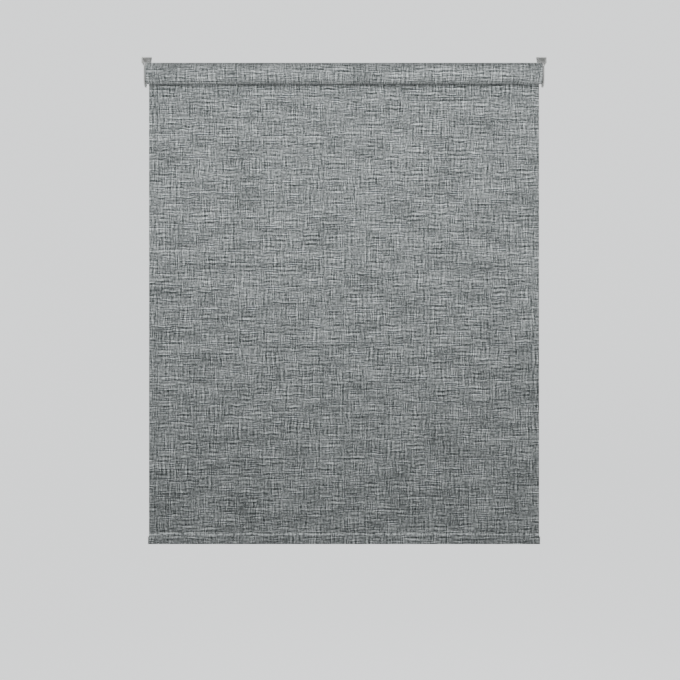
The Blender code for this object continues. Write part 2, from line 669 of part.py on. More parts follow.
def make_idle_end(roller):
    """The left end: a plug, and a pin that a spring pushes out of it into the bracket's bush."""
    past = -COLLAR_FACE - COLLAR
    nose_bore = PIN_RADIUS + FIT_GAP
    bore = [
        (past, 0),
        (past, nose_bore),
        (IDLE_BORE_START, nose_bore),
        (IDLE_BORE_START, IDLE_BORE),
        (IDLE_PLUG_END + COLLAR, IDLE_BORE),
        (IDLE_PLUG_END + COLLAR, 0),
    ]
    collar = sleeve(-COLLAR_FACE, -COLLAR_INNER, 0, TUBE_RADIUS)
    make_plug("idle_end_plug", -COLLAR_FACE + COLLAR / 2, IDLE_PLUG_END, collar, bore, roller)

    rim_end = IDLE_PLUG_END + FIT_GAP + RETAINER_RIM
    pin = [
        (PIN_TIP, 0),
        (PIN_TIP, PIN_RADIUS - PIN_NOSE),
        (PIN_TIP + PIN_NOSE, PIN_RADIUS),
        (SHOULDER_START, PIN_RADIUS),
        (SHOULDER_START, PIN_SHOULDER_RADIUS),
        (SHOULDER_END, PIN_SHOULDER_RADIUS),
        (SHOULDER_END, PIN_STEM_RADIUS),
        (rim_end, PIN_STEM_RADIUS),
        (rim_end, 0),
    ]
    turned_piece("idle_pin", pin, STEEL, roller)

    stem_bore = PIN_STEM_RADIUS + FIT_GAP
    rim = PIN_SHOULDER_RADIUS + BUSH_RIM_WIDTH
    retainer = [
        (RETAINER_START, stem_bore),
        (RETAINER_START, PIN_SHOULDER_RADIUS),
        (IDLE_PLUG_END + FIT_GAP, PIN_SHOULDER_RADIUS),
        (IDLE_PLUG_END + FIT_GAP, rim),
        (rim_end, rim),
        (rim_end, stem_bore),
    ]
    turned_piece("idle_pin_retainer", retainer, ACETAL, roller)

    seat = FIT_GAP + PIN_SPRING_WIRE / 2
    radius = (PIN_STEM_RADIUS + PIN_SHOULDER_RADIUS) / 2
    ends = ((radius, SHOULDER_END + seat), (radius, RETAINER_START - seat))
    coil_piece("idle_pin_spring", roller, PIN_SPRING_WIRE, *ends, PIN_SPRING_TURNS, [], [])


def make_motor_cap(roller):
    """The right end cap, its bush, and the wrap spring that it turns on the brake hub."""
    collar = sleeve(COLLAR_INNER, COLLAR_FACE, 0, TUBE_RADIUS)
    clear = BLADE_COLLAR_RADIUS + FIT_GAP
    seat = MOTOR_BUSH_RADIUS + FIT_GAP
    bore = [
        (CAP_START - COLLAR, 0),
        (CAP_START - COLLAR, CAP_CHAMBER_RADIUS),
        (CAP_CHAMBER_END, CAP_CHAMBER_RADIUS),
        (CAP_CHAMBER_END, clear),
        (BUSH_SEAT_START, clear),
        (BUSH_SEAT_START, seat),
        (COLLAR_FACE + COLLAR, seat),
        (COLLAR_FACE + COLLAR, 0),
    ]
    cap = make_plug("motor_end_cap", CAP_START, COLLAR_FACE - COLLAR / 2, collar, bore, roller)
    half = BRAKE_WIRE / 2 + FIT_GAP
    low = (-half, -TUBE_RADIUS, CAP_START - COLLAR)
    high = (half, -CAP_CHAMBER_RADIUS + CAP_SKIRT, BRAKE_COIL_START + half)
    add_boolean(cap, "DIFFERENCE", new_cutter("tang_notch", box_mesh("tang_notch", low, high), roller))
    bush = sleeve(BUSH_SEAT_START + FIT_GAP, COLLAR_FACE - COLLAR / 2, clear, MOTOR_BUSH_RADIUS)
    turned_piece("motor_bush", bush, ACETAL, roller)

    tang = [(0, -TANG_TIP, BRAKE_COIL_START)]
    coil_end = BRAKE_COIL_START + BRAKE_TURNS * BRAKE_PITCH
    ends = ((BRAKE_COIL_RADIUS, BRAKE_COIL_START), (BRAKE_COIL_RADIUS, coil_end))
    coil_piece("brake_spring", roller, BRAKE_WIRE, *ends, BRAKE_TURNS, tang, [], phase=-math.pi / 2)


def make_shaft(roller):
    """The blade, the shaft that it holds still, and what is fixed on the shaft."""
    groove_low = CLIP_START - FIT_GAP
    groove_high = CLIP_END + FIT_GAP
    neck = SHAFT_RADIUS - CLIP_GROOVE
    shaft = [
        (SHAFT_START, 0),
        (SHAFT_START, SHAFT_RADIUS),
        (groove_low, SHAFT_RADIUS),
        (groove_low, neck),
        (groove_high, neck),
        (groove_high, SHAFT_RADIUS),
        (SHAFT_END, SHAFT_RADIUS),
        (SHAFT_END, 0),
    ]
    turned_piece("motor_shaft", shaft, STEEL, roller)

    socket_end = SHAFT_END + FIT_GAP
    collar = [
        (BLADE_COLLAR_START, SHAFT_BORE),
        (BLADE_COLLAR_START, BLADE_COLLAR_RADIUS),
        (BLADE_COLLAR_END, BLADE_COLLAR_RADIUS),
        (BLADE_COLLAR_END, 0),
        (socket_end, 0),
        (socket_end, SHAFT_BORE),
    ]
    blade = turned_piece("motor_blade", collar, STEEL, roller)
    low = (-BLADE_THICKNESS / 2, -BLADE_HEIGHT / 2, (socket_end + BLADE_COLLAR_END) / 2)
    high = (BLADE_THICKNESS / 2, BLADE_HEIGHT / 2, PLATE_INNER + BLADE_REACH)
    add_boolean(blade, "UNION", new_cutter("blade_tang", box_mesh("blade_tang", low, high), roller))

    hub = sleeve(BRAKE_HUB_START, BRAKE_HUB_END, SHAFT_BORE, BRAKE_HUB_RADIUS)
    turned_piece("brake_hub", hub, STEEL, roller, ROUND_STEPS)


def make_limit_stop(roller):
    """The screw fixed on the shaft, and the nut that the tube turns along it."""
    root = THREAD_RADIUS - THREAD_DEPTH
    thread = []
    for turn_index in range(THREAD_TURNS):
        place = THREAD_START + turn_index * THREAD_PITCH
        thread += [(place + THREAD_PITCH / 4, root), (place + THREAD_PITCH * 3 / 4, THREAD_RADIUS)]
    screw = [
        (LIMIT_SCREW_START, SHAFT_BORE),
        (LIMIT_SCREW_START, LIMIT_COLLAR_RADIUS),
        (THREAD_START, LIMIT_COLLAR_RADIUS),
        (THREAD_START, root),
        *thread,
        (THREAD_START + THREAD_TURNS * THREAD_PITCH + THREAD_PITCH / 4, root),
        (LIMIT_SCREW_END, root),
        (LIMIT_SCREW_END, SHAFT_BORE),
    ]
    turned_piece("limit_screw", screw, ACETAL, roller)
    outline = keyed_outline(PLUG_RADIUS, KEYWAY_HALF, KEYWAY_FLOOR)
    hole = circle_outline(THREAD_RADIUS + FIT_GAP)
    mesh = prism_mesh("limit_nut", [outline, hole], NUT_START, NUT_START + NUT)
    new_piece("limit_nut", mesh, NYLON, roller)


def tail_hole(name, start, end, roller):
    """A hole for a straight end of the lift spring, on the side where its coil starts and ends."""
    radius = SPRING_WIRE / 2 + FIT_GAP
    mesh = prism_mesh(name, [circle_outline(radius, SPRING_RADIUS, steps=12)], start, end)
    return new_cutter(name, mesh, roller)


def make_lift_spring(roller):
    """The lift spring, the anchor at its still end and the plug at its turning end."""
    spigot_start = ANCHOR_START - SPIGOT
    anchor = [
        (spigot_start, SHAFT_BORE),
        (spigot_start, SPIGOT_RADIUS),
        (ANCHOR_START, SPIGOT_RADIUS),
        (ANCHOR_START, ANCHOR_RADIUS),
        (ANCHOR_END, ANCHOR_RADIUS),
        (ANCHOR_END, SHAFT_BORE),
    ]
    piece = turned_piece("spring_anchor", anchor, NYLON, roller, ROUND_STEPS)
    reach = SPRING_TAIL + FIT_GAP
    hole = tail_hole("anchor_hole", ANCHOR_START - reach, ANCHOR_START + reach, roller)
    add_boolean(piece, "DIFFERENCE", hole)

    seat = FIT_GAP + SPRING_WIRE / 2
    first = SPRING_START + seat
    last = ANCHOR_START - seat
    before = [(SPRING_RADIUS, 0, SPRING_START - SPRING_TAIL)]
    after = [(SPRING_RADIUS, 0, ANCHOR_START + SPRING_TAIL)]
    ends = ((SPRING_RADIUS, first), (SPRING_RADIUS, last))
    coil_piece("torsion_spring", roller, SPRING_WIRE, *ends, SPRING_TURNS, before, after)

    bush_radius = SHAFT_BORE + BUSH_WALL
    bore = sleeve(DRIVE_PLUG_START - COLLAR, SPRING_START + SPIGOT + COLLAR, 0, bush_radius + FIT_GAP)
    spigot = sleeve(DRIVE_PLUG_START + DRIVE_PLUG / 2, SPRING_START + SPIGOT, 0, SPIGOT_RADIUS)
    plug = make_plug("spring_drive_plug", DRIVE_PLUG_START, SPRING_START, spigot, bore, roller)
    hole = tail_hole("drive_hole", SPRING_START - reach, SPRING_START + reach, roller)
    add_boolean(plug, "DIFFERENCE", hole)

    rim_end = DRIVE_PLUG_START - FIT_GAP
    rim = bush_radius + BUSH_RIM_WIDTH
    bush = [
        (rim_end - DRIVE_BUSH_RIM, SHAFT_BORE),
        (rim_end - DRIVE_BUSH_RIM, rim),
        (rim_end, rim),
        (rim_end, bush_radius),
        (SPRING_START + SPIGOT, bush_radius),
        (SPRING_START + SPIGOT, SHAFT_BORE),
    ]
    turned_piece("drive_bush", bush, ACETAL, roller)


def make_shaft_clip(roller):
    """An open ring in the shaft's groove."""
    inside = SHAFT_RADIUS - CLIP_GROOVE + FIT_GAP
    gap = math.asin(CLIP_MOUTH * inside / CLIP_RADIUS)
    inner_gap = math.asin(CLIP_MOUTH)
    outline = []
    for radius, opening, forwards in ((CLIP_RADIUS, gap, True), (inside, inner_gap, False)):
        sweep = 2 * (math.pi - opening)
        angles = [opening + sweep * i / SMALL_STEPS for i in range(SMALL_STEPS + 1)]
        arc = [(radius * math.cos(a), radius * math.sin(a)) for a in angles]
        outline += arc if forwards else arc[::-1]
    mesh = prism_mesh("shaft_clip", [outline], CLIP_START, CLIP_END)
    new_piece("shaft_clip", mesh, SPRING_STEEL, roller)


# ---------------------------------------------------------------- the whole blind


def bake_modifiers():
    """Replaces each piece's modifiers by the mesh they make, shaded smooth between its sharp edges."""
    for piece in PARTS.objects:
        if piece.type != "MESH":
            continue
        if piece.modifiers:
            mesh = evaluated_mesh(piece)
            piece.modifiers.clear()
            piece.data = mesh
        piece.data.shade_smooth()
        piece.data.set_sharp_from_angle(angle=math.radians(35))


def main():
    """Builds every piece."""
    blind = new_frame("blind", (0, 0, 0))
    roller = new_frame("roller_axis", (0, 0, AXIS_Z), ALONG_X)
    roller.parent = blind
    hem = new_frame("hem_frame", (0, CLOTH_MIDDLE, 0), ALONG_X)
    hem.parent = blind
    make_brackets(blind, roller)
    make_roller(roller)
    make_cloth_and_hem(blind, hem)
    make_idle_end(roller)
    make_motor_cap(roller)
    make_shaft(roller)
    make_limit_stop(roller)
    make_lift_spring(roller)
    make_shaft_clip(roller)
    bake_modifiers()


main()
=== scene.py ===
"""Looks of a cordless roller blind: slub-woven cloth on its roller and hem, steel brackets, nylon fittings.

Lengths are in metres. X runs along the roller, -Y faces the room and +Z is up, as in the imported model.
"""

from __future__ import annotations

import json
import logging
import math
from collections.abc import Iterable
from dataclasses import dataclass, field
from enum import Enum

import bmesh
import bpy
from mathutils import Matrix, Vector, noise


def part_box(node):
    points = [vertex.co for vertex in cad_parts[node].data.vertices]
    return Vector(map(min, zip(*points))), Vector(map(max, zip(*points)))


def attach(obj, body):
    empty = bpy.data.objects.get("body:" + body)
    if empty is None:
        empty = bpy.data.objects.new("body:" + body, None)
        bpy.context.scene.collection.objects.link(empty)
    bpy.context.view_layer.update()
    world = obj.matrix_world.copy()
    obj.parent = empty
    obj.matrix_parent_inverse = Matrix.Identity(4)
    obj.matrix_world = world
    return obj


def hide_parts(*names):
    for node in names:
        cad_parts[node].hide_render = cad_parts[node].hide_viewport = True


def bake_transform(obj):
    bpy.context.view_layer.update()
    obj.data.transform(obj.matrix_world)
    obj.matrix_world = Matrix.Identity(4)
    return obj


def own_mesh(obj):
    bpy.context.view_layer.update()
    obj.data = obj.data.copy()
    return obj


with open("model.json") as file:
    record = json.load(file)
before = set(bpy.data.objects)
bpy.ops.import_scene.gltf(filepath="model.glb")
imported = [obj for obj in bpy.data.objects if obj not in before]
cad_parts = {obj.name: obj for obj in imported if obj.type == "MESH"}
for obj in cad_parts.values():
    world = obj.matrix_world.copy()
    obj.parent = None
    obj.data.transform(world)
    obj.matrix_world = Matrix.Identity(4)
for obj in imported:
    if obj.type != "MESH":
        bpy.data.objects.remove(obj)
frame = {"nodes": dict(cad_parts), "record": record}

log = logging.getLogger("roller_blind")

Socket = bpy.types.NodeSocket
Point = tuple[float, float, float]
MM = 0.001
MERGE = 1e-6  # points closer than this are one
FLAT = math.radians(0.5)  # faces that meet at less than this are one
SHARP = math.radians(50)  # edges that turn by more than this are rounded over
CREASE = math.radians(35)  # edges that turn by more than this are shaded sharp


# ---------------------------------------------------------------- colours and nodes


def linear(code: str) -> tuple[float, float, float, float]:
    """Turns an sRGB hex colour to linear.

    Args:
        code: The colour as "#rrggbb".

    Returns:
        Red, green, blue and an alpha of 1.
    """
    parts = [int(code[i : i + 2], 16) / 255 for i in (1, 3, 5)]
    r, g, b = (p / 12.92 if p <= 0.04045 else ((p + 0.055) / 1.055) ** 2.4 for p in parts)
    return r, g, b, 1.0


def add_node(
    tree: bpy.types.NodeTree, kind: str, links: dict[str | int, object] | None = None, **settings: object
) -> bpy.types.Node:
    """Adds a node with its settings and links.

    Args:
        tree: The node tree.
        kind: The node's type, without the words ShaderNode.
        links: An output socket or a fixed value for each input, by the input's name or number.
        **settings: The node's own properties.

    Returns:
        The node.
    """
    node = tree.nodes.new(f"ShaderNode{kind}")
    for key, value in settings.items():
        setattr(node, key, value)
    for key, value in (links or {}).items():
        if isinstance(value, bpy.types.NodeSocket):
            tree.links.new(value, node.inputs[key])
        else:
            node.inputs[key].default_value = value
    return node


def new_material(
    name: str, colour: str, roughness: float, metallic: float = 0.0
) -> tuple[bpy.types.Material, bpy.types.NodeTree, bpy.types.Node]:
    """Makes a material with one Principled shader.

    Args:
        name: The material's name.
        colour: Its base colour as an sRGB hex code.
        roughness: Its roughness.
        metallic: 1 for a bare metal.

    Returns:
        The material, its node tree and the shader node.
    """
    material = bpy.data.materials.new(name)
    material.use_nodes = True
    tree = material.node_tree
    shader = tree.nodes["Principled BSDF"]
    shader.inputs["Base Color"].default_value = linear(colour)
    shader.inputs["Roughness"].default_value = roughness
    shader.inputs["Metallic"].default_value = metallic
    material.diffuse_color = linear(colour)
    return material, tree, shader


# ---------------------------------------------------------------- finishes


class PatternSource(Enum):
    """Where a piece of cloth reads its weave's place from."""

    PLACE = "object coordinates, on cloth that hangs flat"
    UNROLLED = "the uv map, in metres along and round the cloth"


@dataclass(frozen=True)
class LinenLook:
    """Polyester roller cloth woven to look like linen, with slubs in warp and weft.

    Yarns of uneven thickness and tone give short light and dark streaks both ways, over a heather grey ground
    that drifts a little from place to place. It is matt, with a faint sheen at grazing angles.
    """

    name: str
    source: PatternSource
    light: str = "#f6fbfa"
    dark: str = "#303635"
    middle: str = "#8c9395"
    roughness: float = 0.86
    specular: float = 0.3
    sheen: float = 0.12
    sheen_roughness: float = 0.5
    # Real yarns lie 0.6 mm apart. The streaks are drawn at 2.2 mm, the finest that shows at this distance.
    pitch: float = 2.2 * MM
    yarn: float = 0.6 * MM
    weft_run: float = 42 * MM
    warp_run: float = 38 * MM
    weft_seed: float = 3.7
    warp_seed: float = 91.3
    # Each pair of yarns reads its slubs from a place this far from the last pair's.
    lane_step: float = 7.31
    # A yarn strays sideways by up to two rows, in bends this long that its neighbours share.
    stray_rows: float = 2.0
    stray_run: float = 22 * MM
    stray_width: float = 60 * MM
    # Octaves of the noises, and how strong each is next to the one before.
    detail: float = 2.0
    fineness: float = 0.55
    # How much each pattern adds to the cloth's tone.
    weft_share: float = 1.2
    warp_share: float = 0.9
    grain_share: float = 0.28
    cloud_share: float = 0.3
    # Where light or dark slubs gather, the ground drifts in patches three times as wide as they are tall.
    cloud: float = 80 * MM
    cloud_stretch: float = 3.0
    # The cloth's middle tone, the least that any yarn has, and the power that turns tone to colour.
    ground: float = 0.52
    darkest: float = 0.02
    exponent: float = 2.2
    # Yarns stand up by their tone, and by the weave's own over and under.
    weave_share: float = 0.25
    relief: float = 0.3
    relief_depth: float = 0.2 * MM
    # Lowest and highest z of the hem's weld, which is fused in dashes about this long.
    weld: tuple[float, float] | None = None
    weld_dash: float = 7 * MM
    # The noise's values where a dash starts and where it is whole, its share in the gaps, and its lightness.
    weld_gap: tuple[float, float] = (0.36, 0.6)
    weld_least: float = 0.05
    weld_lift: float = 0.42

    def streaks(
        self, tree: bpy.types.NodeTree, along: Socket, across: Socket, run: float, seed: float
    ) -> tuple[Socket, Socket]:
        """Makes the tones of one set of yarns, each of which has its own slubs.

        Args:
            tree: The material's node tree.
            along: Place along the yarns, in metres.
            across: Place across them, in metres.
            run: Length of a slub.
            seed: Keeps the two sets apart.

        Returns:
            A tone from 0 to 1, and the yarn's number.
        """
        bend = add_node(tree, "Math", {0: along, 1: 1 / self.stray_run}, operation="MULTIPLY")
        side = add_node(tree, "Math", {0: across, 1: 1 / self.stray_width, 2: seed}, operation="MULTIPLY_ADD")
        slow = add_node(tree, "CombineXYZ", {"X": bend.outputs[0], "Y": side.outputs[0]})
        stray = add_node(
            tree,
            "TexNoise",
            {"Vector": slow.outputs[0], "Scale": 1.0, "Detail": 1.0},
            noise_dimensions="2D",
        )
        reach = self.stray_rows * self.pitch
        moved = add_node(tree, "Math", {0: stray.outputs[0], 1: reach, 2: across}, operation="MULTIPLY_ADD")
        count = add_node(tree, "Math", {0: moved.outputs[0], 1: 1 / self.pitch}, operation="MULTIPLY")
        row = add_node(tree, "Math", {0: count.outputs[0]}, operation="FLOOR")
        second = add_node(tree, "Math", {0: row.outputs[0], 1: 2.0}, operation="FLOORED_MODULO")
        first = add_node(tree, "Math", {0: row.outputs[0], 1: second.outputs[0]}, operation="SUBTRACT")
        lane = add_node(
            tree, "Math", {0: first.outputs[0], 1: self.lane_step, 2: seed}, operation="MULTIPLY_ADD"
        )
        length = add_node(tree, "Math", {0: along, 1: 1 / run}, operation="MULTIPLY")
        place = add_node(tree, "CombineXYZ", {"X": length.outputs[0], "Y": lane.outputs[0]})
        slub = add_node(
            tree,
            "TexNoise",
            {"Vector": place.outputs[0], "Scale": 1.0, "Detail": self.detail, "Roughness": self.fineness},
            noise_dimensions="2D",
        )
        # Of two neighbouring yarns one is as dark as the other is light, which keeps the streaks crisp.
        turn = add_node(tree, "Math", {0: second.outputs[0], 1: -2.0, 2: 1.0}, operation="MULTIPLY_ADD")
        swing = add_node(tree, "Math", {0: slub.outputs[0], 1: 0.5}, operation="SUBTRACT")
        tone = add_node(
            tree, "Math", {0: swing.outputs[0], 1: turn.outputs[0], 2: 0.5}, operation="MULTIPLY_ADD"
        )
        return tone.outputs[0], row.outputs[0]

    def material(self) -> bpy.types.Material:
        """Builds the material.

        Returns:
            The material.
        """
        material, tree, shader = new_material(self.name, self.middle, self.roughness)
        shader.inputs["Specular IOR Level"].default_value = self.specular
        shader.inputs["Sheen Weight"].default_value = self.sheen
        shader.inputs["Sheen Roughness"].default_value = self.sheen_roughness
        coordinates = add_node(tree, "TexCoord")
        if self.source is PatternSource.PLACE:
            split = add_node(tree, "SeparateXYZ", {0: coordinates.outputs["Object"]})
            u, v = split.outputs["X"], split.outputs["Z"]
        else:
            split = add_node(tree, "SeparateXYZ", {0: coordinates.outputs["UV"]})
            u, v = split.outputs["X"], split.outputs["Y"]
        weft, weft_number = self.streaks(tree, u, v, self.weft_run, self.weft_seed)
        warp, warp_number = self.streaks(tree, v, u, self.warp_run, self.warp_seed)
        crossing = add_node(tree, "CombineXYZ", {"X": weft_number, "Y": warp_number})
        grain = add_node(tree, "TexWhiteNoise", {"Vector": crossing.outputs[0]}, noise_dimensions="2D")
        tall = add_node(tree, "Math", {0: v, 1: self.cloud_stretch}, operation="MULTIPLY")
        flat = add_node(tree, "CombineXYZ", {"X": u, "Y": tall.outputs[0]})
        patch = {"Scale": 1 / self.cloud, "Detail": self.detail, "Roughness": self.fineness}
        cloud = add_node(tree, "TexNoise", {"Vector": flat.outputs[0], **patch}, noise_dimensions="2D")
        shares = (
            (weft, self.weft_share),
            (warp, self.warp_share),
            (grain.outputs[0], self.grain_share),
            (cloud.outputs[0], self.cloud_share),
        )
        total = self.ground - sum(share for _, share in shares) / 2
        for part, share in shares:
            tone = add_node(tree, "Math", {0: part, 1: share, 2: total}, operation="MULTIPLY_ADD")
            total = tone.outputs[0]
        if self.weld:
            tone = self.weld_tone(tree, coordinates.outputs["Object"], tone.outputs[0])
        clear = add_node(
            tree, "Math", {0: tone.outputs[0], 1: self.darkest}, operation="MAXIMUM", use_clamp=True
        )
        weight = add_node(tree, "Math", {0: clear.outputs[0], 1: self.exponent}, operation="POWER")
        colour = add_node(
            tree,
            "Mix",
            {0: weight.outputs[0], 6: linear(self.dark), 7: linear(self.light)},
            data_type="RGBA",
        )
        tree.links.new(colour.outputs[2], shader.inputs["Base Color"])

        # A plain weave of round yarns, over and under.
        over = add_node(tree, "Math", {0: u, 1: math.pi / self.yarn}, operation="MULTIPLY")
        over = add_node(tree, "Math", {0: over.outputs[0]}, operation="SINE")
        under = add_node(tree, "Math", {0: v, 1: math.pi / self.yarn}, operation="MULTIPLY")
        under = add_node(tree, "Math", {0: under.outputs[0]}, operation="SINE")
        weave = add_node(tree, "Math", {0: over.outputs[0], 1: under.outputs[0]}, operation="MULTIPLY")
        raised = {0: weave.outputs[0], 1: self.weave_share, 2: clear.outputs[0]}
        height = add_node(tree, "Math", raised, operation="MULTIPLY_ADD")
        depth = {"Strength": self.relief, "Distance": self.relief_depth}
        bump = add_node(tree, "Bump", {"Height": height.outputs[0], **depth})
        tree.links.new(bump.outputs[0], shader.inputs["Normal"])
        return material

    def weld_tone(self, tree: bpy.types.NodeTree, place: Socket, tone: Socket) -> bpy.types.Node:
        """Makes the pressed weld lighter, where its yarns are fused flat.

        Args:
            tree: The material's node tree.
            place: Object coordinates.
            tone: The cloth's tone.

        Returns:
            The node whose first output is the new tone.
        """
        low, high = self.weld
        split = add_node(tree, "SeparateXYZ", {0: place})
        off = add_node(tree, "Math", {0: split.outputs["Z"], 1: (low + high) / 2}, operation="SUBTRACT")
        off = add_node(tree, "Math", {0: off.outputs[0]}, operation="ABSOLUTE")
        inside = add_node(
            tree,
            "MapRange",
            {0: off.outputs[0], 1: (high - low) / 2, 2: (high - low) / 4, 3: 0.0, 4: 1.0},
        )
        dash = add_node(tree, "CombineXYZ", {"X": split.outputs["X"]})
        broken = add_node(
            tree,
            "TexNoise",
            {"Vector": dash.outputs[0], "Scale": 1 / self.weld_dash, "Detail": self.detail},
            noise_dimensions="2D",
        )
        start, full = self.weld_gap
        spread = {1: start, 2: full, 3: self.weld_least, 4: 1.0}
        fused = add_node(tree, "MapRange", {0: broken.outputs[0], **spread})
        lift = add_node(tree, "Math", {0: fused.outputs[0], 1: inside.outputs[0]}, operation="MULTIPLY")
        lighter = {0: lift.outputs[0], 1: self.weld_lift, 2: tone}
        return add_node(tree, "Math", lighter, operation="MULTIPLY_ADD")


def dress_hard_surface(
    tree: bpy.types.NodeTree,
    shader: bpy.types.Node,
    drift: Socket,
    grain: Socket,
    tints: tuple[str, str],
    gloss: tuple[float, float],
    relief: tuple[float, float],
) -> None:
    """Lets a hard surface's colour and gloss drift together, and gives it a fine relief.

    Args:
        tree: The material's node tree.
        shader: Its shader node.
        drift: The pattern that colour and gloss follow, from 0 to 1.
        grain: The pattern of the relief.
        tints: Hex colours at 0 and at 1.
        gloss: Roughness at 0 and at 1.
        relief: Strength of the relief, and its depth in metres.
    """
    tint = add_node(tree, "Mix", {0: drift, 6: linear(tints[0]), 7: linear(tints[1])}, data_type="RGBA")
    tree.links.new(tint.outputs[2], shader.inputs["Base Color"])
    rough = add_node(tree, "MapRange", {0: drift, 3: gloss[0], 4: gloss[1]})
    tree.links.new(rough.outputs[0], shader.inputs["Roughness"])
    bump = add_node(tree, "Bump", {"Height": grain, "Strength": relief[0], "Distance": relief[1]})
    tree.links.new(bump.outputs[0], shader.inputs["Normal"])


@dataclass(frozen=True)
class PowderCoat:
    """Powder coat baked on pressed steel: an even satin grey with a fine orange peel."""

    name: str = "satin grey powder coat on pressed steel"
    colour: str = "#c3c3c0"
    tints: tuple[str, str] = ("#bcbcb8", "#cacac7")
    roughness: float = 0.42
    gloss: tuple[float, float] = (0.36, 0.5)
    peel: float = 0.9 * MM
    dust: float = 9 * MM
    relief: tuple[float, float] = (0.12, 0.05 * MM)

    def material(self) -> bpy.types.Material:
        """Builds the material.

        Returns:
            The material.
        """
        material, tree, shader = new_material(self.name, self.colour, self.roughness)
        place = add_node(tree, "TexCoord").outputs["Object"]
        peel = add_node(tree, "TexNoise", {"Vector": place, "Scale": 1 / self.peel, "Detail": 2.0})
        dust = add_node(tree, "TexNoise", {"Vector": place, "Scale": 1 / self.dust, "Detail": 4.0})
        dress_hard_surface(
            tree, shader, dust.outputs[0], peel.outputs[0], self.tints, self.gloss, self.relief
        )
        return material


@dataclass(frozen=True)
class MouldedPlastic:
    """Injection-moulded nylon or acetal: even colour, soft gloss, a faint moulded grain and flow marks."""

    name: str
    colour: str
    flow: str
    roughness: float
    ior: float = 1.53
    grain: float = 0.35 * MM
    flow_width: float = 7 * MM
    gloss_drift: tuple[float, float] = (-0.06, 0.08)
    relief: tuple[float, float] = (0.1, 0.03 * MM)

    def material(self) -> bpy.types.Material:
        """Builds the material.

        Returns:
            The material.
        """
        material, tree, shader = new_material(self.name, self.colour, self.roughness)
        shader.inputs["IOR"].default_value = self.ior
        place = add_node(tree, "TexCoord").outputs["Object"]
        flow = add_node(tree, "TexNoise", {"Vector": place, "Scale": 1 / self.flow_width, "Detail": 3.0})
        grain = add_node(tree, "TexNoise", {"Vector": place, "Scale": 1 / self.grain, "Detail": 1.0})
        tints = (self.colour, self.flow)
        low, high = self.gloss_drift
        gloss = (self.roughness + low, self.roughness + high)
        dress_hard_surface(tree, shader, flow.outputs[0], grain.outputs[0], tints, gloss, self.relief)
        return material


@dataclass(frozen=True)
class DrawnMetal:
    """Extruded aluminium, drawn wire or turned steel, with fine lines left along X by the die or tool."""

    name: str
    colour: str
    shade: str
    roughness: float
    line: float = 0.25 * MM
    line_run: float = 100 * MM
    gloss_drift: tuple[float, float] = (0.1, -0.06)
    relief: tuple[float, float] = (0.15, 0.02 * MM)

    def material(self) -> bpy.types.Material:
        """Builds the material.

        Returns:
            The material.
        """
        material, tree, shader = new_material(self.name, self.colour, self.roughness, 1.0)
        place = add_node(tree, "TexCoord").outputs["Object"]
        scale = (1 / self.line_run, 1 / self.line, 1 / self.line)
        stretched = add_node(tree, "Mapping", {"Vector": place, "Scale": scale})
        lines = add_node(tree, "TexNoise", {"Vector": stretched.outputs[0], "Scale": 1.0, "Detail": 3.0})
        tints = (self.shade, self.colour)
        low, high = self.gloss_drift
        gloss = (self.roughness + low, self.roughness + high)
        dress_hard_surface(tree, shader, lines.outputs[0], lines.outputs[0], tints, gloss, self.relief)
        return material


# ---------------------------------------------------------------- meshes


def finish_piece(
    name: str, shape: bmesh.types.BMesh, material: bpy.types.Material, body: str | None
) -> bpy.types.Object:
    """Turns a finished bmesh into a piece that rides on a body.

    Args:
        name: The piece's name.
        shape: The bmesh, which is freed.
        material: Its material.
        body: The body that it rides on, or None for a piece that rides on none.

    Returns:
        The new object.
    """
    mesh = bpy.data.meshes.new(name)
    shape.to_mesh(mesh)
    shape.free()
    mesh.materials.append(material)
    piece = bpy.data.objects.new(name, mesh)
    bpy.context.scene.collection.objects.link(piece)
    if body:
        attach(piece, body)
    log.info("%s: %d faces, rides on %s", name, len(mesh.polygons), body)
    return piece


def smooth(piece: bpy.types.Object) -> None:
    """Shades a piece smooth between its sharp edges."""
    piece.data.shade_smooth()
    piece.data.set_sharp_from_angle(angle=CREASE)


def thicken(piece: bpy.types.Object, thickness: float) -> None:
    """Gives a surface its thickness, half to each side, with sharp cut edges.

    Args:
        piece: The surface, whose mesh is replaced.
        thickness: Its new thickness in metres.
    """
    wall = piece.modifiers.new("cloth thickness", "SOLIDIFY")
    wall.thickness = thickness
    wall.offset = 0
    wall.use_even_offset = True
    bpy.context.view_layer.update()
    thick = bpy.data.meshes.new_from_object(piece.evaluated_get(bpy.context.evaluated_depsgraph_get()))
    piece.modifiers.clear()
    thin, piece.data = piece.data, thick
    bpy.data.meshes.remove(thin)
    thick.name = piece.name
    smooth(piece)


def put_in_order(shape: bmesh.types.BMesh) -> None:
    """Sorts a mesh's edges and faces by their corners, so that each run gives them in the same order.

    Args:
        shape: The mesh, whose corners are in order and stay where they are.
    """
    count = len(shape.verts)

    def rank(item: bmesh.types.BMEdge | bmesh.types.BMFace) -> int:
        """Place of an edge or face, by its first and last corner."""
        corners = [vert.index for vert in item.verts]
        return min(corners) * count + max(corners)

    shape.verts.index_update()
    shape.edges.sort(key=rank)
    shape.faces.sort(key=rank)


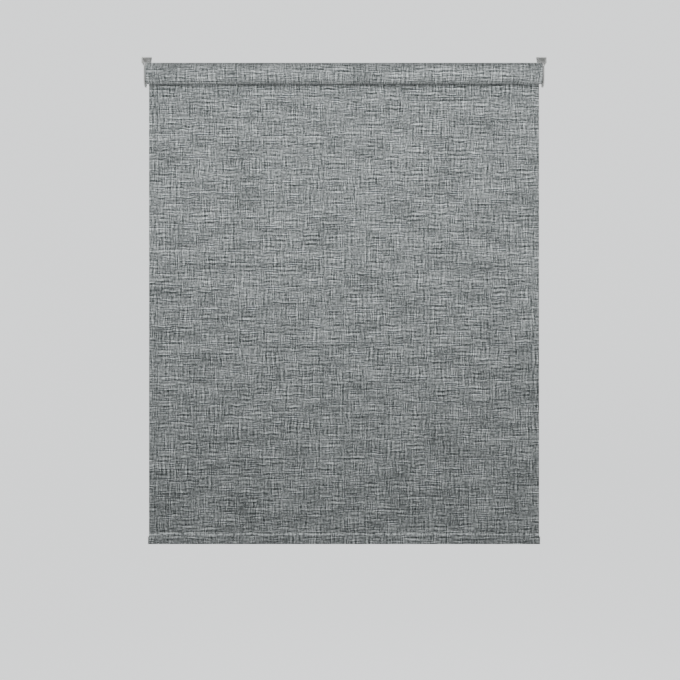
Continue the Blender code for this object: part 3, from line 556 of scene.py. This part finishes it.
def swept_cloth(
    half_width: float, columns: int, path: Iterable[tuple[float, float]], first_arc: float
) -> bmesh.types.BMesh:
    """Extrudes a straight edge of cloth along a path in the YZ plane, with a uv map in metres.

    Args:
        half_width: Half of the cloth's width, along X.
        columns: Number of faces across the width.
        path: (y, z) points that the cloth's middle follows.
        first_arc: The uv map's value at the start of the path, from which it falls.

    Returns:
        The surface.
    """
    points = [Vector((0, y, z)) for y, z in path]
    shape = bmesh.new()
    arc_layer = shape.verts.layers.float.new("arc")
    start = shape.verts.new((-half_width, points[0].y, points[0].z))
    row = [start]
    edges = []
    for _ in range(columns):
        grown = bmesh.ops.extrude_vert_indiv(shape, verts=[row[-1]])
        bmesh.ops.translate(shape, verts=grown["verts"], vec=(2 * half_width / columns, 0, 0))
        row += grown["verts"]
        edges += grown["edges"]
    arc = first_arc
    for vert in row:
        vert[arc_layer] = arc
    for here, there in zip(points, points[1:]):
        grown = bmesh.ops.extrude_edge_only(shape, edges=edges)["geom"]
        moved = [item for item in grown if isinstance(item, bmesh.types.BMVert)]
        sides = [item for item in grown if isinstance(item, bmesh.types.BMEdge)]
        edges = [edge for edge in sides if all(vert in moved for vert in edge.verts)]
        bmesh.ops.translate(shape, verts=moved, vec=there - here)
        arc -= (there - here).length
        for vert in moved:
            vert[arc_layer] = arc
    # An extrusion makes its side edges and faces in an order that differs from run to run.
    put_in_order(shape)
    uv = shape.loops.layers.uv.new("cloth")
    for face in shape.faces:
        for loop in face.loops:
            loop[uv].uv = (loop.vert.co.x, loop.vert[arc_layer])
    return shape


def refined_copy(
    node: str, name: str, material: bpy.types.Material, round_over: float, rides: bool = True
) -> bpy.types.Object:
    """Copies a hard CAD node as one welded mesh, rounds its sharp edges a little and shades it smooth.

    Args:
        node: The CAD node, which the copy replaces.
        name: The copy's name.
        material: Its material.
        round_over: Width of the rounding, or 0 where the node's edges are already broken.
        rides: False for a copy that rides on no body.

    Returns:
        The new object.
    """
    shape = bmesh.new()
    shape.from_mesh(frame["nodes"][node].data)
    bmesh.ops.remove_doubles(shape, verts=shape.verts, dist=MERGE)
    bmesh.ops.dissolve_limit(
        shape, angle_limit=FLAT, use_dissolve_boundaries=False, verts=shape.verts, edges=shape.edges
    )
    if round_over:
        sharp = [e for e in shape.edges if len(e.link_faces) == 2 and e.calc_face_angle(0) > SHARP]
        bmesh.ops.bevel(
            shape,
            geom=sharp,
            offset=round_over,
            offset_type="OFFSET",
            segments=2,
            profile=0.5,
            affect="EDGES",
            clamp_overlap=True,
            material=-1,
        )
    bodies = frame["record"]["behaviour"]["bodies"]
    body = next(b for b, members in bodies.items() if node in members) if rides else None
    piece = finish_piece(name, shape, material, body)
    smooth(piece)
    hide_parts(node)
    return piece


# ---------------------------------------------------------------- sub-assemblies


@dataclass
class Cloth:
    """The cloth: its outermost turn, the turn under it, the sheet that hangs from them and the hem's loop."""

    thickness: float = 0.6 * MM
    columns: int = 96
    sheet_rows: int = 112
    turn_steps: int = 144
    bend_steps: int = 10
    wall_steps: int = 4
    # The outer turn's end lies under its start with a fiftieth of the cloth's thickness to spare.
    tuck: float = 1.02
    # That end's inner face lies this many thicknesses in from the start's middle.
    tuck_reach: float = 1.5
    # Ripples of the sheet: their height, width and drop, their place in the noise, and how soon they start.
    ripple: float = 0.7 * MM
    ripple_width: float = 0.11
    ripple_drop: float = 0.55
    ripple_place: float = 3.1
    ripple_start: float = 0.6
    # Puckers of the hem's loop: their height, and their size along X, Y and Z.
    pucker: float = 0.12 * MM
    pucker_size: Point = (0.021, 0.004, 0.006)
    weld_height: float = 2.2 * MM
    weld_dent: float = 0.12 * MM
    loop_end: float = 0.1 * MM
    axis: Vector = field(default_factory=lambda: Vector((0, 0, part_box("hanging_fabric")[1].z)))

    def __post_init__(self) -> None:
        """Reads the cloth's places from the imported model."""
        low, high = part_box("hanging_fabric")
        self.middle = (low.y + high.y) / 2
        self.half_width = high.x
        self.sheet_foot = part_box("hem_pocket")[1].z
        self.roll_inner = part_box("roller_tube")[1].y

    def dress(self, flat: bpy.types.Material, rolled: bpy.types.Material, hem: bpy.types.Material) -> None:
        """Builds every piece of cloth.

        Args:
            flat: Material of the hanging sheet.
            rolled: Material of the turns.
            hem: Material of the hem's loop.
        """
        outer = self.outer_turn(rolled)
        inner = self.inner_turn(rolled)
        sheet = self.hanging_sheet(flat)
        loop = self.hem_loop(hem)
        self.loop_length()

    def inner_radius(self) -> float:
        """Radius of the middle of the inner turn, half way between the tube and the outer turn."""
        return (self.roll_inner + self.middle - self.tuck_reach * self.thickness) / 2

    def outer_turn(self, material: bpy.types.Material) -> bpy.types.Object:
        """Makes the turn that starts at the sheet's top edge, goes over the roll and ends under its start.

        Args:
            material: The rolled cloth's material.

        Returns:
            The piece.
        """
        path = []
        for step in range(self.turn_steps + 1):
            share = step / self.turn_steps
            radius = self.middle - self.thickness * share * self.tuck
            angle = 2 * math.pi * share
            path.append((radius * math.cos(angle), self.axis.z + radius * math.sin(angle)))
        shape = swept_cloth(self.half_width, self.columns, path, self.axis.z)
        # The cloth's tone runs on from the sheet: along this path the uv map rises instead of falling.
        uv = shape.loops.layers.uv.active
        for face in shape.faces:
            for loop in face.loops:
                loop[uv].uv = (loop[uv].uv.x, 2 * self.axis.z - loop[uv].uv.y)
        piece = finish_piece("outer_turn", shape, material, "root")
        thicken(piece, self.thickness)
        return piece

    def inner_turn(self, material: bpy.types.Material) -> bpy.types.Object:
        """Makes the closed turn that rides on the tube under the outer one.

        Args:
            material: The rolled cloth's material.

        Returns:
            The piece.
        """
        radius = self.inner_radius()
        angles = [2 * math.pi * step / self.turn_steps for step in range(self.turn_steps + 1)]
        path = [(radius * math.cos(a), self.axis.z + radius * math.sin(a)) for a in angles]
        shape = swept_cloth(self.half_width, self.columns // 4, path, 0.0)
        bmesh.ops.remove_doubles(shape, verts=shape.verts, dist=MERGE)
        piece = finish_piece("rolled_cloth", shape, material, "roller")
        thicken(piece, self.thickness)
        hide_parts("rolled_fabric")
        return piece

    def hanging_sheet(self, material: bpy.types.Material) -> bpy.types.Object:
        """Makes the sheet, which hangs true but for slight ripples.

        Args:
            material: The hanging cloth's material.

        Returns:
            The piece.
        """
        height = self.axis.z - self.sheet_foot
        shape = bmesh.new()
        place = Matrix.Translation((0, self.middle, (self.axis.z + self.sheet_foot) / 2))
        turned = Matrix.Rotation(math.pi / 2, 4, "X")
        size = Matrix.Diagonal((self.half_width, height / 2, 1, 1))
        bmesh.ops.create_grid(
            shape,
            x_segments=self.columns,
            y_segments=self.sheet_rows,
            size=1,
            matrix=place @ turned @ size,
        )
        for vert in shape.verts:
            share = (self.axis.z - vert.co.z) / height
            free = math.sin(math.pi * min(1.0, max(0.0, share))) ** self.ripple_start
            place = Vector((vert.co.x / self.ripple_width, self.ripple_place, vert.co.z / self.ripple_drop))
            vert.co.y += self.ripple * free * noise.noise(place)
        piece = finish_piece("hanging_sheet", shape, material, "root")
        thicken(piece, self.thickness)
        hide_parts("hanging_fabric")
        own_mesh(piece)
        return piece

    def loop_path(self) -> list[tuple[float, float]]:
        """Works out the line that the hem's loop follows: down its front, round the bar and up its back.

        Returns:
            The (y, z) points of its middle.
        """
        low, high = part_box("hem_pocket")
        radius = (high.y - low.y) / 2 - self.thickness / 2
        bar_low, bar_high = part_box("hem_bar")
        bar_radius = (bar_high.y - bar_low.y) / 2
        foot, shoulder = bar_low.z + bar_radius, bar_high.z - bar_radius
        weld_foot = high.z - self.weld_height
        # How far down the weld each point lies, and its share of the dent that the press leaves.
        pressed = ((0.0, 0.0), (0.5 * MM, 0.5), (1.1 * MM, 1.0), (1.7 * MM, 0.5), (self.weld_height, 0.0))
        path = [(self.weld_dent * share, high.z - down) for down, share in pressed]
        bend = [step / self.bend_steps for step in range(1, self.bend_steps + 1)]
        wall = [step / self.wall_steps for step in range(1, self.wall_steps + 1)]
        for share in bend:
            out = radius * (1 - math.cos(math.pi * share)) / 2
            path.append((-out, weld_foot + (shoulder - weld_foot) * share))
        path += [(-radius, shoulder + (foot - shoulder) * share) for share in wall]
        for step in range(1, 2 * self.bend_steps + 1):
            angle = math.pi * step / (2 * self.bend_steps)
            path.append((-radius * math.cos(angle), foot - radius * math.sin(angle)))
        path += [(radius, foot + (shoulder - foot) * share) for share in wall]
        back = self.thickness
        for share in bend:
            out = (radius - back) * (1 + math.cos(math.pi * share)) / 2
            path.append((back + out, shoulder + (weld_foot - shoulder) * share))
        path.append((back, high.z - self.loop_end))
        return [(self.middle + y, z) for y, z in path]

    def loop_length(self) -> float:
        """Length of the cloth in the hem's loop."""
        path = self.loop_path()
        return sum(math.dist(a, b) for a, b in zip(path, path[1:]))

    def hem_loop(self, material: bpy.types.Material) -> bpy.types.Object:
        """Makes the loop that holds the hem bar, closed by a pressed weld.

        Args:
            material: The hem's material.

        Returns:
            The piece.
        """
        path = self.loop_path()
        shape = swept_cloth(self.half_width, 2 * self.columns, path, path[0][1])
        for vert in shape.verts:
            place = Vector([at / size for at, size in zip(vert.co, self.pucker_size)])
            vert.co.y += self.pucker * noise.noise(place)
        piece = finish_piece("hem_loop", shape, material, "hem")
        thicken(piece, self.thickness)
        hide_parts("hem_pocket")
        return piece


@dataclass
class Fittings:
    """The brackets, plugs, caps and metal pieces."""

    coat: bpy.types.Material
    aluminium: bpy.types.Material
    zinc: bpy.types.Material
    spring: bpy.types.Material
    nylon: bpy.types.Material
    acetal: bpy.types.Material

    def dress(self) -> None:
        """Builds the pieces that show or that bend, and dresses the other CAD nodes inside the roller."""
        copies = (
            ("left_bracket", "left_bracket_steel", self.coat, "bracket_paint", 0),
            ("right_bracket", "right_bracket_steel", self.coat, "bracket_paint", 0),
            ("pin_bush", "pin_bush_ring", self.acetal, "white_acetal", 0.2 * MM),
            ("blade_socket", "blade_socket_block", self.acetal, "white_acetal", 0.2 * MM),
            ("idle_end_plug", "idle_plug", self.nylon, "grey_nylon", 0.2 * MM),
            ("motor_end_cap", "motor_cap", self.nylon, "grey_nylon", 0.2 * MM),
            ("hem_cap_left", "hem_end_left", self.nylon, "grey_nylon", 0.35 * MM),
            ("hem_cap_right", "hem_end_right", self.nylon, "grey_nylon", 0.35 * MM),
            ("idle_pin", "idle_pin_rod", self.zinc, "bright_steel", 0.1 * MM),
            ("motor_blade", "motor_blade_bar", self.zinc, "bright_steel", 0.15 * MM),
        )
        for node, name, material, slot, round_over in copies:
            refined_copy(node, name, material, round_over)
        inside = {
            self.aluminium: ("roller_tube", "hem_bar"),
            self.zinc: ("motor_shaft", "brake_hub"),
            self.spring: ("brake_spring", "shaft_clip"),
            self.nylon: ("limit_nut", "spring_anchor", "spring_drive_plug"),
            self.acetal: ("fabric_spline", "idle_pin_retainer", "motor_bush", "limit_screw", "drive_bush"),
        }
        for material, nodes in inside.items():
            for node in nodes:
                self.paint(frame["nodes"][node], material)
        self.add_pin_spring()
        self.add_lift_spring()

    def add_pin_spring(self) -> None:
        """Copies the idle pin's spring, which shortens against its retainer as the pin is pressed in."""
        coil = refined_copy("idle_pin_spring", "pin_spring_coil", self.spring, 0)
        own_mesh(coil)

    def add_lift_spring(self) -> None:
        """Copies the lift spring, which twists between the turning drive plug and the still anchor."""
        coil = refined_copy("torsion_spring", "lift_spring_coil", self.spring, 0, rides=False)
        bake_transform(coil)

    def paint(self, node: bpy.types.Object, material: bpy.types.Material) -> None:
        """Puts a material in every slot of a CAD node.

        Args:
            node: The CAD node's object.
            material: The material.
        """
        for slot in node.material_slots:
            slot.material = material
        log.info("%s: %s", node.name, material.name)


# ---------------------------------------------------------------- studio


@dataclass(frozen=True)
class SoftLight:
    """A soft rectangular light: where it stands, the point that it faces, its width and height, and watts."""

    name: str
    place: Point
    aim: Point
    size: tuple[float, float]
    power: float
    tint: str = "#fbfdff"

    def add(self) -> None:
        """Adds the light to the scene, unseen by the camera."""
        data = bpy.data.lights.new(self.name, "AREA")
        data.shape = "RECTANGLE"
        data.size, data.size_y = self.size
        data.energy = self.power
        data.color = linear(self.tint)[:3]
        light = bpy.data.objects.new(self.name, data)
        light.location = self.place
        light.rotation_euler = (Vector(self.aim) - Vector(self.place)).to_track_quat("-Z", "Y").to_euler()
        light.visible_camera = False
        bpy.context.scene.collection.objects.link(light)


@dataclass
class Studio:
    """A pale floor that turns up into a wall all round, soft lights and the camera."""

    floor: float = -1.9
    wall_radius: float = 4.2
    corner: float = 1.4
    corner_steps: int = 12
    wall_top: float = 3.4
    steps: int = 96
    lights: tuple[SoftLight, ...] = (
        SoftLight("front light", (0.0, -1.0, -0.07), (0.0, 0.0, -0.07), (2.0, 0.4), 14.7),
        SoftLight("rear fill", (0.7, 2.4, 1.1), (0.0, 0.0, -0.4), (2.0, 1.6), 40),
    )
    haze: str = "#f4f6f7"
    # The sky's strength falls from its full value at the lower height to its least at the upper one.
    sky_heights: tuple[float, float] = (-0.5, 0.7)
    sky_strengths: tuple[float, float] = (0.36, 0.05)
    floor_colour: str = "#eceeee"
    floor_glow: float = 1.3
    camera_place: Point = (0.0, -2.328, -0.515)
    lens: float = 61.8
    sensor: float = 36
    shift: tuple[float, float] = (-0.006, -0.0326)
    clip: tuple[float, float] = (0.05, 50)

    def build(self) -> None:
        """Makes the floor, the lights, the sky and the camera."""
        self.add_floor()
        for light in self.lights:
            light.add()
        self.add_sky()
        self.add_camera()

    def add_sky(self) -> None:
        """Makes soft light all round, weaker from overhead, as a room's is beside a window."""
        world = bpy.data.worlds.new("sky")
        world.use_nodes = True
        tree = world.node_tree
        up = add_node(tree, "SeparateXYZ", {0: add_node(tree, "TexCoord").outputs["Generated"]})
        fade = dict(zip((1, 2, 3, 4), self.sky_heights + self.sky_strengths))
        strength = add_node(tree, "MapRange", {0: up.outputs["Z"], **fade})
        background = tree.nodes["Background"]
        background.inputs["Color"].default_value = linear(self.haze)
        tree.links.new(strength.outputs[0], background.inputs["Strength"])
        bpy.context.scene.world = world

    def add_floor(self) -> None:
        """Turns the floor's section once round the object."""
        shape = bmesh.new()
        arc = [math.pi / 2 * k / self.corner_steps for k in range(self.corner_steps + 1)]
        inner = self.wall_radius - self.corner
        profile = [(0.0, self.floor), (inner / 2, self.floor)]
        profile += [
            (inner + self.corner * math.sin(a), self.floor + self.corner * (1 - math.cos(a))) for a in arc
        ]
        profile.append((self.wall_radius, self.wall_top))
        points = [shape.verts.new((radius, 0, z)) for radius, z in profile]
        edges = [shape.edges.new(pair) for pair in zip(points, points[1:])]
        bmesh.ops.spin(
            shape,
            geom=points + edges,
            cent=(0, 0, 0),
            axis=(0, 0, 1),
            angle=2 * math.pi,
            steps=self.steps,
            use_merge=True,
        )
        bmesh.ops.remove_doubles(shape, verts=shape.verts, dist=10 * MERGE)
        bmesh.ops.recalc_face_normals(shape, faces=shape.faces)
        if sum(face.normal.z for face in shape.faces) < 0:
            bmesh.ops.reverse_faces(shape, faces=shape.faces)
        mesh = bpy.data.meshes.new("floor")
        shape.to_mesh(mesh)
        shape.free()
        mesh.shade_smooth()
        material, _, shader = new_material("matt pale floor paint", self.floor_colour, 0.9)
        shader.inputs["Specular IOR Level"].default_value = 0.1
        shader.inputs["Emission Color"].default_value = linear(self.haze)
        shader.inputs["Emission Strength"].default_value = self.floor_glow
        mesh.materials.append(material)
        floor = bpy.data.objects.new("floor", mesh)
        bpy.context.scene.collection.objects.link(floor)
        floor.visible_diffuse = False

    def add_camera(self) -> None:
        """Stands the camera in front of the blind, level and a little below its middle."""
        data = bpy.data.cameras.new("camera")
        data.sensor_width = self.sensor
        data.lens = self.lens
        data.shift_x, data.shift_y = self.shift
        data.clip_start, data.clip_end = self.clip
        camera = bpy.data.objects.new("camera", data)
        camera.location = self.camera_place
        camera.rotation_euler = (math.pi / 2, 0, 0)
        bpy.context.scene.collection.objects.link(camera)
        bpy.context.scene.camera = camera


def main() -> None:
    """Builds the blind's looks and its surroundings."""
    logging.basicConfig(level=logging.INFO, format="%(message)s")
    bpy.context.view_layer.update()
    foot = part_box("hem_pocket")[1].z
    # The fused band reaches from a little below the hem's top edge to a little above it.
    weld = (foot - 3.6 * MM, foot + 1.2 * MM)
    flat = LinenLook("slub-woven linen cloth, hanging", PatternSource.PLACE, weld=weld).material()
    # Two turns lie over each other on the roller, so less light is lost through them: the rolled cloth's
    # ground is painted lighter, 0.545 against 0.52, to stand in for that light.
    rolled = LinenLook("slub-woven linen cloth, rolled", PatternSource.UNROLLED, ground=0.545).material()
    hem = LinenLook("slub-woven linen cloth, welded hem", PatternSource.UNROLLED, weld=weld).material()
    Cloth().dress(flat, rolled, hem)
    Fittings(
        coat=PowderCoat().material(),
        # Straight from the die: dull silver with long fine lines.
        aluminium=DrawnMetal("mill-finish extruded aluminium", "#d6d8dc", "#b4b7bc", 0.34).material(),
        # Turned and plated: brighter and cooler, with a sharper gloss.
        zinc=DrawnMetal("bright zinc on turned steel", "#c4c5c8", "#9ea0a4", 0.26).material(),
        # Drawn and oiled: dark, with a soft shine along the wire.
        spring=DrawnMetal("oiled drawn spring steel", "#7d7d82", "#56565b", 0.32, 0.12 * MM).material(),
        # Nylon is satin, and its grey pales a little where it flowed.
        nylon=MouldedPlastic("moulded grey nylon", "#a9abab", "#b3b5b5", 0.46).material(),
        # Acetal is waxy and glossier.
        acetal=MouldedPlastic("moulded white acetal", "#dcdcd8", "#e6e6e2", 0.36).material(),
    ).dress()
    Studio().build()


if __name__ == "__main__":
    main()
